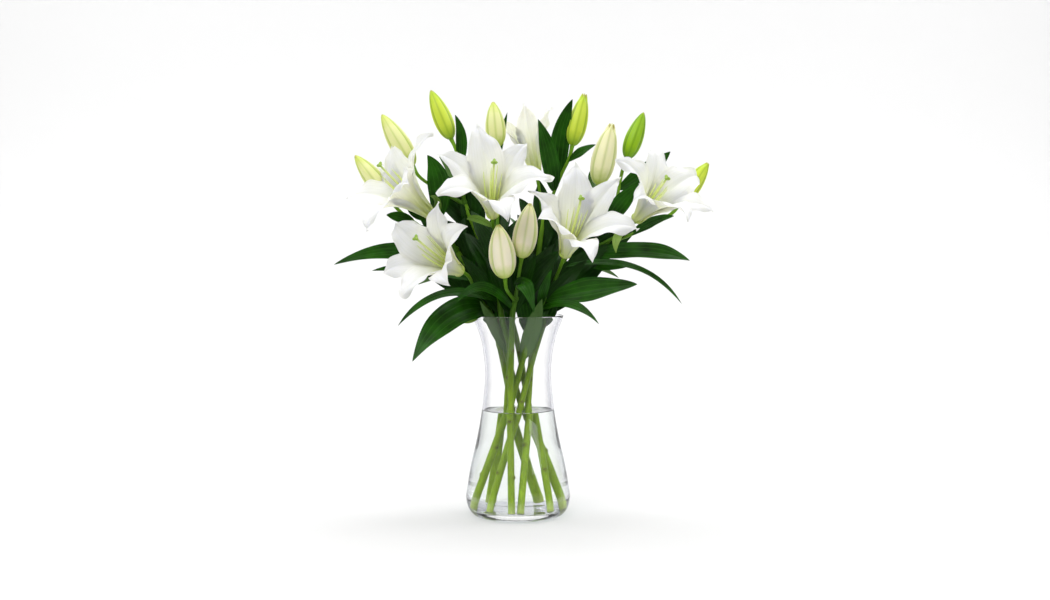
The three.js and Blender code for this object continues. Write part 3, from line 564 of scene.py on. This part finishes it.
# ---------------------------------------------------------------------------------------------
# Buds. Unopened flowers: three outer petals meet edge to edge round the three inner ones, whose keels show
# in the seams between them. Young buds are green and hard, older ones swell and turn cream from the middle.
BUD_FINISHES = {  # foot, middle, tip, seams
    "green": ("#8db324", "#cbdc45", "#b6cf30", "#7ea01c"),
    "deep_green": ("#6a9c12", "#93bd14", "#86b012", "#558010"),
    "green_cream": ("#b4cc48", "#e4e6a6", "#ccd868", "#a6bf3c"),
    "cream": ("#a9bc4a", "#e6e3b8", "#e2e0ac", "#a7b860"),
    "ivory": ("#bdd056", "#fbf1d9", "#f1efbc", "#b5cc5e"),
}


def bud_rings(foot, tip, radius, parting):
    """A spindle thickest a third of the way up. Its radius is shared out in three lobes, with a narrow keel
    between two grooves where the lobes meet; towards the tip the lobes draw apart into three points."""
    axis = np.subtract(tip, foot).astype(float)
    length = np.linalg.norm(axis)
    s = np.concatenate([[0.0], 1 - np.cos(np.linspace(0.06, np.pi / 2, 34)), [1.0]])
    s = np.concatenate([s[:-2], np.linspace(s[-3], 1, 10)[1:]])[:, None]
    turn = np.linspace(0, 2 * np.pi, 72, endpoint=False)[None]
    seam = (3 * turn + np.pi) % (2 * np.pi) - np.pi  # zero in the middle of a lobe
    gap = np.pi - np.abs(seam)
    profile = np.sin(np.pi * np.minimum(1, s**0.74)) ** 0.66
    lobes = 1 - 0.05 * (1 - np.cos(seam)) * np.sin(np.pi * s**0.8)
    lobes = lobes - 0.07 * np.exp(-(((gap - 0.42) / 0.2) ** 2)) + 0.02 * np.exp(-((gap / 0.22) ** 2))
    lobes = lobes - 0.045 * np.exp(-((seam / 0.2) ** 2)) * np.sin(np.pi * s)
    valley = (1 - np.cos(seam)) / 2
    split = np.clip((s - 0.8) / 0.2, 0, 1) ** 1.5 * parting
    r = radius * profile * lobes * (1 - 0.6 * split * valley) + 2.4 * split * (1 - valley) ** 2
    z = length * s - 8 * split * valley + 0 * turn
    rings = np.stack([r * np.cos(turn), r * np.sin(turn), z], -1)
    rings[-1] = (0, 0, length - 9 * parting)
    rings[0] = 0
    side = unit(np.cross(axis, (0, -1, 0.02)))
    basis = np.array([np.cross(side, unit(axis)), side, unit(axis)])
    seam_mark = np.exp(-((gap - 0.3) / 0.35) ** 2) + 0.6 * np.exp(-((seam / 0.3) ** 2)) + 0 * s
    return rings @ basis + foot, {"along": s + 0 * turn, "seam": seam_mark}


def bud_skin(finish):
    """Waxy bud tissue: smooth, faintly translucent, its colour running from the green foot to the tip."""
    foot_colour, middle_colour, tip_colour, seam_colour = BUD_FINISHES[finish]
    skin = new_material(f"waxy_{finish}_bud")
    along = add(skin, "Attribute", {"attribute_name": "along"})
    seam = add(skin, "Attribute", {"attribute_name": "seam"})
    place = add(skin, "TexCoord")
    fine = add(skin, "TexNoise", {"Scale": 130.0, "Detail": 4.0}, Vector=place.outputs["Object"])
    shift = add(skin, "MapRange", {"To Min": -0.08, "To Max": 0.08}, in_0=fine.outputs[0])
    placed = add(skin, "Math", {"operation": "ADD"}, in_0=along.outputs["Fac"], in_1=shift.outputs[0])
    ramp = add(skin, "ValToRGB", in_0=placed.outputs[0], stops=[
        (0.0, foot_colour), (0.28, middle_colour), (0.72, middle_colour), (0.94, tip_colour),
        (1.0, "#a9a04c")])
    amount = add(skin, "Math", {"operation": "MULTIPLY", 1: 0.75}, in_0=seam.outputs["Fac"])
    seamed = add(skin, "MixRGB", {"Color2": linear(seam_colour)},
                 Fac=amount.outputs[0], Color1=ramp.outputs[0])
    bump = add(skin, "Bump", {"Strength": 0.15, "Distance": 0.0006}, Height=fine.outputs[0])
    gloss = add(skin, "BsdfPrincipled", {
        "Roughness": 0.4, "Specular IOR Level": 0.3, "Subsurface Weight": 0.5,
        "Subsurface Radius": (0.9, 1.0, 0.5), "Subsurface Scale": 0.005},
        Base_Color=seamed.outputs[0], Normal=bump.outputs[0])
    return finish_material(skin, gloss.outputs[0])


bud_skins = {finish: bud_skin(finish) for finish in BUD_FINISHES}
for bud, (foot, tip, radius, finish, parting) in BUDS.items():
    rings, marks = bud_rings(foot, tip, radius, parting)
    make_piece(f"lily_{bud}", [rings], bud_skins[finish], [bud],
               sharp=80, marks=[marks])

# ---------------------------------------------------------------------------------------------
# Leaves. Long lance-shaped leaves without stalks, dark green and glossy above, greyer beneath, with three
# to seven veins along them. They grow up the stems and arch outwards; small ones sit under the heads.
LEAVES = {  # foot, bend, tip, width, the way the upper face looks
    "leaf_far_left": ((-59, 2, 350), (-162, -20, 392), (-253, -35, 352), 27, (0, -0.9, 0.5)),
    "leaf_left_narrow": ((-59, -30, 340), (-136, -28, 357), (-199, -50, 344), 16, (0, -0.9, 0.5)),
    "leaf_left_arching": ((-34, -38, 301), (-108, -62, 339), (-160, -90, 271), 16, (0, -0.7, 0.7)),
    "leaf_left_hanging": ((-45, -22, 290), (-94, -62, 303), (-141, -88, 223), 46, (-0.3, -1, 0.35)),
    "leaf_front_arching": ((-8, -50, 290), (-49, -92, 350), (-82, -112, 301), 15, (0, -0.9, 0.4)),
    "leaf_front_right": ((26, -46, 292), (73, -78, 315), (108, -100, 274), 17, (0.2, -0.8, 0.6)),
    "leaf_right_broad": ((46, -34, 300), (102, -64, 320), (159, -100, 327), 38, (-0.1, -0.8, 0.6)),
    "leaf_right_arching": ((82, -30, 339), (169, -50, 376), (220, -84, 300), 12, (0.2, -0.7, 0.7)),
    "leaf_far_right": ((111, -6, 356), (183, -40, 378), (232, -70, 358), 34, (-0.1, -0.75, 0.65)),
    "leaf_top_upright": ((50, 34, 472), (53, 46, 534), (77, 26, 585), 28, (0.1, -1, 0.1)),
    "leaf_top_middle": ((50, 6, 455), (46, -2, 505), (28, -4, 554), 26, (0.1, -1, 0.1)),
    "leaf_top_left": ((-73, 22, 490), (-74, 14, 531), (-88, 4, 561), 16, (0.1, -1, 0.2)),
    "leaf_left_glossy": ((-93, 4, 436), (-102, 10, 474), (-127, 6, 505), 33, (-0.2, -0.95, 0.2)),
    "leaf_right_inner": ((128, 4, 410), (146, -2, 444), (170, -12, 463), 25, (0.1, -0.95, 0.3)),
    "leaf_right_behind": ((171, 22, 452), (190, 26, 487), (215, 22, 511), 24, (0.2, -0.95, 0.2)),
    "leaf_neck_right": ((4, -26, 221), (20, -38, 264), (33, -58, 306), 24, (0.1, 1, -0.2)),
    "leaf_neck_left": ((-14, -27, 227), (-30, -28, 262), (-52, -50, 303), 16, (-0.2, 1, -0.2)),
    "leaf_back_left": ((-30, 48, 300), (-80, 110, 360), (-150, 128, 320), 34, (-0.3, 0.6, 0.75)),
    "leaf_back_right": ((40, 44, 310), (85, 112, 370), (150, 130, 330), 34, (0.3, 0.6, 0.75)),
    "leaf_back_middle": ((8, 50, 330), (5, 104, 400), (-12, 142, 420), 30, (0, 0.6, 0.7)),
    "leaf_back_high_left": ((-60, 44, 420), (-84, 96, 480), (-118, 110, 512), 26, (-0.2, 0.9, 0.5)),
    "leaf_back_high_right": ((96, 30, 440), (110, 84, 482), (128, 112, 500), 26, (0.2, 0.9, 0.5)),
}
SMALL_LEAVES = {  # leaves and bracts too small to be solids of their own
    "leaf_rim_yellowing": ((-52, -20, 288), (-68, -26, 272), (-86, -30, 278), 16, (0, -1, -0.1)),
    "bract_front": ((-4, -52, 322), (10, -80, 342), (22, -84, 288), 22, (0.3, -0.9, 0.2)),
    "leaf_right_high": ((158, 2, 396), (190, -12, 416), (216, -22, 419), 18, (0, -0.8, 0.6)),
    "leaf_right_under": ((98, -8, 340), (128, -18, 352), (152, -24, 349), 14, (0, -0.9, -0.2)),
    "bract_right": ((132, -30, 400), (130, -44, 392), (134, -50, 368), 12, (0.1, -1, 0.1)),
    "leaf_under_opening_bud": ((76, 12, 488), (90, 10, 512), (109, 12, 520), 14, (0, -0.9, 0.4)),
    "leaf_behind_middle_bud": ((-26, 14, 500), (-24, 16, 534), (-15, 12, 565), 9, (0.3, -0.9, 0)),
    "bract_left": ((-94, -8, 434), (-108, -20, 446), (-121, -26, 446), 12, (0.2, -0.9, 0.4)),
    "leaf_left_under": ((-150, 4, 402), (-168, 0, 420), (-184, -2, 421), 16, (0, -0.9, 0.2)),
    "leaf_left_behind": ((-124, 4, 404), (-142, 0, 420), (-154, -4, 428), 15, (0, -0.9, 0.3)),
    "leaf_front_upright": ((30, -44, 296), (34, -60, 322), (46, -62, 346), 13, (0.2, -1, 0.1)),
    "leaf_neck_back_left": ((-10, 16, 244), (-14, 26, 290), (-34, 30, 336), 26, (0.1, -1, 0.1)),
    "leaf_neck_back_right": ((12, 14, 250), (16, 26, 296), (30, 34, 342), 26, (-0.1, -1, 0.1)),
    "leaf_neck_middle": ((0, -14, 262), (4, -22, 300), (4, -34, 342), 22, (0, -1, 0.1)),
    "leaf_rim_left": ((-38, -8, 266), (-46, -14, 292), (-64, -20, 322), 22, (0, -1, 0.1)),
    "leaf_rim_right": ((34, -8, 266), (44, -12, 292), (60, -18, 322), 22, (0, -1, 0.1)),
    "bract_middle": ((-50, -34, 408), (-60, -40, 420), (-70, -44, 414), 11, (0, -0.9, 0.4)),
}

# From -1, young and yellowish, to 1, painted dark as shade for leaves deep in the bunch; the other placed
# leaves are 0.
AGES = {"leaf_rim_yellowing": -0.7, "bract_right": -0.7, "bract_left": -0.3, "bract_middle": -0.3}
INNER_PAINTED_SHADE = 0.65
FOLIAGE_FROM_Z = 281  # leaves are stripped from the stems below this height
growth_points = np.vstack(growth_lines)


def growing_from(foot):
    """The point of all the stems' and stalks' centre lines that lies nearest to a stated foot."""
    return growth_points[np.linalg.norm(growth_points - foot, axis=1).argmin()]


def leaf_rings(foot, bend, tip, width, face, seed, youth_and_shade=0.0):
    """A blade along a quadratic bend. Its half width is a sine drawn towards the tip, it is folded into a
    shallow V about the midrib, dips between its veins, and its edges wave gently."""
    foot, bend, tip = (np.array(p, float) for p in (foot, bend, tip))
    s = np.concatenate([[0.0], np.linspace(0.012, 0.9, 44), np.linspace(0.92, 0.996, 8), [1.0]])[:, None]
    mid = (1 - s) ** 2 * foot + 2 * s * (1 - s) * bend + s**2 * tip
    tangent = unit(2 * (1 - s) * (bend - foot) + 2 * s * (tip - bend))
    side = unit(np.cross(tangent, np.array(face, float)))
    normal = np.cross(side, tangent)
    half = 14
    c = np.concatenate([np.linspace(-1, 1, half + 1), np.linspace(1, -1, half + 1)[1:-1]])[None]
    back = np.concatenate([np.zeros(half + 1), np.ones(half - 1)])[None]
    reach = width / 2 * np.maximum(np.sin(np.pi * s**0.8), 0) ** 0.8 + 0.9 * (s < 0.3) * (1 - s / 0.3)
    wave = 0.05 * width * np.sin(2 * np.pi * (1.6 * s + 0.29 * seed) + 1.2 * np.sign(c)) * np.abs(c) ** 2
    lift = 0.18 * reach * np.abs(c) ** 0.8 + wave * np.sin(np.pi * s)
    lift = lift - 0.25 * np.cos(5 * np.pi * c) * np.sin(np.pi * s)
    lift = lift + np.where(back > 0, -0.22, 0.22) * np.clip(4 * (1 - np.abs(c)), 0, 1)
    twist = 0.25 * np.sin(1.7 * seed) * s**2
    across = reach * c * np.cos(twist) - lift * np.sin(twist)
    lift = reach * c * np.sin(twist) + lift * np.cos(twist)
    rings = mid[:, None] + across[..., None] * side[:, None] + lift[..., None] * normal[:, None]
    rings[0], rings[-1] = foot, tip
    return rings, {"along": s + 0 * c, "across": c + 0 * s, "back": back + 0 * s, "youth_and_shade": youth_and_shade + 0 * s * c}


# Lily leaf: a thin waxy cuticle over dark green tissue, semi-gloss above and matt grey-green beneath.
# Veins a few millimetres apart run the whole length as paler lines in shallow furrows. Young leaves are
# yellower, and leaves deep in the bunch are painted darker as shade.
leaf_skin = new_material("lily_leaf_cuticle")
along = add(leaf_skin, "Attribute", {"attribute_name": "along"})
across = add(leaf_skin, "Attribute", {"attribute_name": "across"})
back = add(leaf_skin, "Attribute", {"attribute_name": "back"})
place = add(leaf_skin, "TexCoord")
grid = add(leaf_skin, "CombineXYZ", X=across.outputs["Fac"], Y=along.outputs["Fac"])
lines = add(leaf_skin, "Mapping", {"Scale": (16, 1.1, 1)}, Vector=grid.outputs[0])
veins = add(leaf_skin, "TexNoise", {"Scale": 1.0, "Detail": 3.0}, Vector=lines.outputs[0])
mottle = add(leaf_skin, "TexNoise", {"Scale": 42.0, "Detail": 3.0}, Vector=place.outputs["Object"])
vein_wave = add(leaf_skin, "Math", {"operation": "MULTIPLY", 1: 15.7}, in_0=across.outputs["Fac"])
vein_cos = add(leaf_skin, "Math", {"operation": "COSINE"}, in_0=vein_wave.outputs[0])
vein_line = add(leaf_skin, "MapRange", {"From Min": 0.75, "From Max": 1.0, "To Max": 0.4},
                in_0=vein_cos.outputs[0])
green = add(leaf_skin, "ValToRGB", stops=[(0.3, "#113303"), (0.72, "#225806")], in_0=mottle.outputs[0])
youth_shade_mark = add(leaf_skin, "Attribute", {"attribute_name": "youth_and_shade"})
fine_green = add(leaf_skin, "MixRGB", {"blend_type": "OVERLAY", "Fac": 0.4},
                 Color1=green.outputs[0], Color2=veins.outputs[0])
veined = add(leaf_skin, "MixRGB", {"Color2": linear("#3a6f1c")},
             Fac=vein_line.outputs[0], Color1=fine_green.outputs[0])
sides = add(leaf_skin, "MixRGB", {"Color2": linear("#4a6a34")},
            Fac=back.outputs["Fac"], Color1=veined.outputs[0])
# Painted shade: the inner leaves' green is mixed towards near-black by their mark.
painted_inner_shade = add(leaf_skin, "MixRGB", {"Color2": linear("#0a2104")},
           Fac=youth_shade_mark.outputs["Fac"], Color1=sides.outputs[0])
youth = add(leaf_skin, "MapRange", {"From Max": -1.0}, Value=youth_shade_mark.outputs["Fac"])
under = add(leaf_skin, "MixRGB", {"Color2": linear("#9cbb5a")},
            Fac=youth.outputs[0], Color1=painted_inner_shade.outputs[0])
furrows = add(leaf_skin, "Bump", {"Strength": 0.4, "Distance": 0.0008, "invert": True},
              Height=vein_line.outputs[0])
cells = add(leaf_skin, "Bump", {"Strength": 0.2, "Distance": 0.0005},
            Height=veins.outputs[0], Normal=furrows.outputs[0])
matt = add(leaf_skin, "MapRange", {"To Min": 0.36, "To Max": 0.6}, in_0=back.outputs["Fac"])
leaf_gloss = add(leaf_skin, "BsdfPrincipled", {
    "Subsurface Weight": 0.06, "Subsurface Radius": (0.3, 1.0, 0.1), "Subsurface Scale": 0.001,
    "Specular IOR Level": 0.12},
    Base_Color=under.outputs[0], Roughness=matt.outputs[0], Normal=cells.outputs[0])
finish_material(leaf_skin, leaf_gloss.outputs[0])

for seed, (name, (foot, *shape)) in enumerate({**LEAVES, **SMALL_LEAVES}.items()):
    rings, marks = leaf_rings(growing_from(foot), *shape, seed, AGES.get(name, 0))
    nodes = [name] if name in LEAVES else ()
    make_piece(f"lily_{name}", [rings], leaf_skin, nodes, sharp=75, marks=[marks])

# Inner leaves up the stems, a golden-angle turn apart, longest low down. They fill the dark middle of the
# bunch, where single leaves can't be told apart, and their green is painted darker as shade.
GOLDEN_TURN = 2.39996
LOWEST_LENGTH, LOWEST_Z, SHORTENING = 100, 290, 0.22  # mm, mm, and mm of length lost per mm of height
INNER_WIDTH_MIDDLE, INNER_WIDTH_SPREAD = 25, 4
for index, (name, path) in enumerate(stem_paths.items()):
    growing = path[path[:, 2] > FOLIAGE_FROM_Z]
    count = 6 + len(growing) // 6
    for k in range(count):
        at = int((k + 0.5) / count * (len(growing) - 1))
        foot = growing[at]
        turn = GOLDEN_TURN * (k + 3 * index)
        outward = np.array([np.cos(turn), 0.5 * np.sin(turn) + 0.35, 0])
        stem_way = unit(growing[min(at + 2, len(growing) - 1)] - growing[max(at - 2, 0)])
        length = LOWEST_LENGTH - SHORTENING * (foot[2] - LOWEST_Z)
        bend = foot + stem_way * length * 0.45 + outward * length * 0.2
        tip = foot + stem_way * length * 0.8 + outward * length * 0.5
        face = unit(stem_way * 0.4 - outward * 0.3 + (0, -1, 0))
        width = INNER_WIDTH_MIDDLE + INNER_WIDTH_SPREAD * np.sin(k + index)
        # Painted shade: each inner leaf carries a mark that draws it darker green.
        rings, marks = leaf_rings(foot + outward * 3, bend, tip, width, face, k + index, INNER_PAINTED_SHADE)
        make_piece(f"inner_leaf_{name}_{k + 1}", [rings], leaf_skin, (), sharp=75, marks=[marks])

# ---------------------------------------------------------------------------------------------
# Floor and light. A pale sheet of paper lies under the vase and sweeps up behind it without a seam. Wide
# soft lamps stand in front, above and behind, and the room itself adds an even pale light.
sweep = np.array([(-0.6, 0), (-0.3, 0), (0, 0), (1.5, 0), (2.3, 0.12), (2.9, 0.6), (3.1, 1.4), (3.1, 5)])
sweep_line = smooth_line(sweep, 60)
sheet_edges = np.array([-3.2, 3.2])
sheet_points = np.stack([np.broadcast_to(sheet_edges, (60, 2)), np.repeat(sweep_line[:, :1], 2, 1),
                         np.repeat(sweep_line[:, 1:], 2, 1)], -1).reshape(-1, 3)
rows = np.arange(59) * 2
floor_mesh = bpy.data.meshes.new("studio_sheet")
floor_mesh.from_pydata(sheet_points, [], np.stack([rows, rows + 1, rows + 3, rows + 2], 1).tolist())
floor_mesh.polygons.foreach_set("use_smooth", np.ones(59, bool))
paper = new_material("white_background_paper")
paper_place = add(paper, "TexCoord")
paper_grain = add(paper, "TexNoise", {"Scale": 300.0}, Vector=paper_place.outputs["Object"])
paper_bump = add(paper, "Bump", {"Strength": 0.02}, Height=paper_grain.outputs[0])
paper_face = add(paper, "BsdfPrincipled",
                 {"Base Color": linear("#dcdcdc"), "Roughness": 0.9, "Specular IOR Level": 0.1},
                 Normal=paper_bump.outputs[0])
finish_material(paper, paper_face.outputs[0])
floor_mesh.materials.append(paper)
floor = bpy.data.objects.new("studio_sheet", floor_mesh)
scene.collection.objects.link(floor)

world = bpy.data.worlds.new("studio_air")
scene.world = world
world.use_nodes = True
direction = add(world, "TexCoord")
height = add(world, "SeparateXYZ", Vector=direction.outputs["Generated"])
ceiling = add(world, "MapRange", {"From Min": -0.1, "From Max": 0.55, "To Min": 0.28, "To Max": 0.85},
              Value=height.outputs["Z"])
world.node_tree.nodes["Background"].inputs["Color"].default_value = linear("#ffffff")
world.node_tree.links.new(ceiling.outputs[0], world.node_tree.nodes["Background"].inputs["Strength"])


def lamp(name, place, size, power, aim=(0, 0, 0.35)):
    data = bpy.data.lights.new(name, "AREA")
    data.size = size
    data.energy = power
    lamp_object = bpy.data.objects.new(name, data)
    scene.collection.objects.link(lamp_object)
    way = np.subtract(aim, place)
    lamp_object.location = place
    lamp_object.rotation_euler = Vector(way).to_track_quat("-Z", "Y").to_euler()


lamp("key", (-1.5, -2.0, 2.1), 1.4, 34)
lamp("fill", (2.1, -1.9, 1.3), 1.4, 15)
lamp("top", (0.2, 0.4, 2.6), 1.6, 22)
lamp("sheet_left", (-2.0, 0.9, 2.2), 2.0, 33, (-0.4, 3.0, 0.6))
lamp("sheet_right", (2.0, 0.9, 2.2), 2.0, 33, (0.4, 3.0, 0.6))
scene.view_settings.view_transform = "Standard"
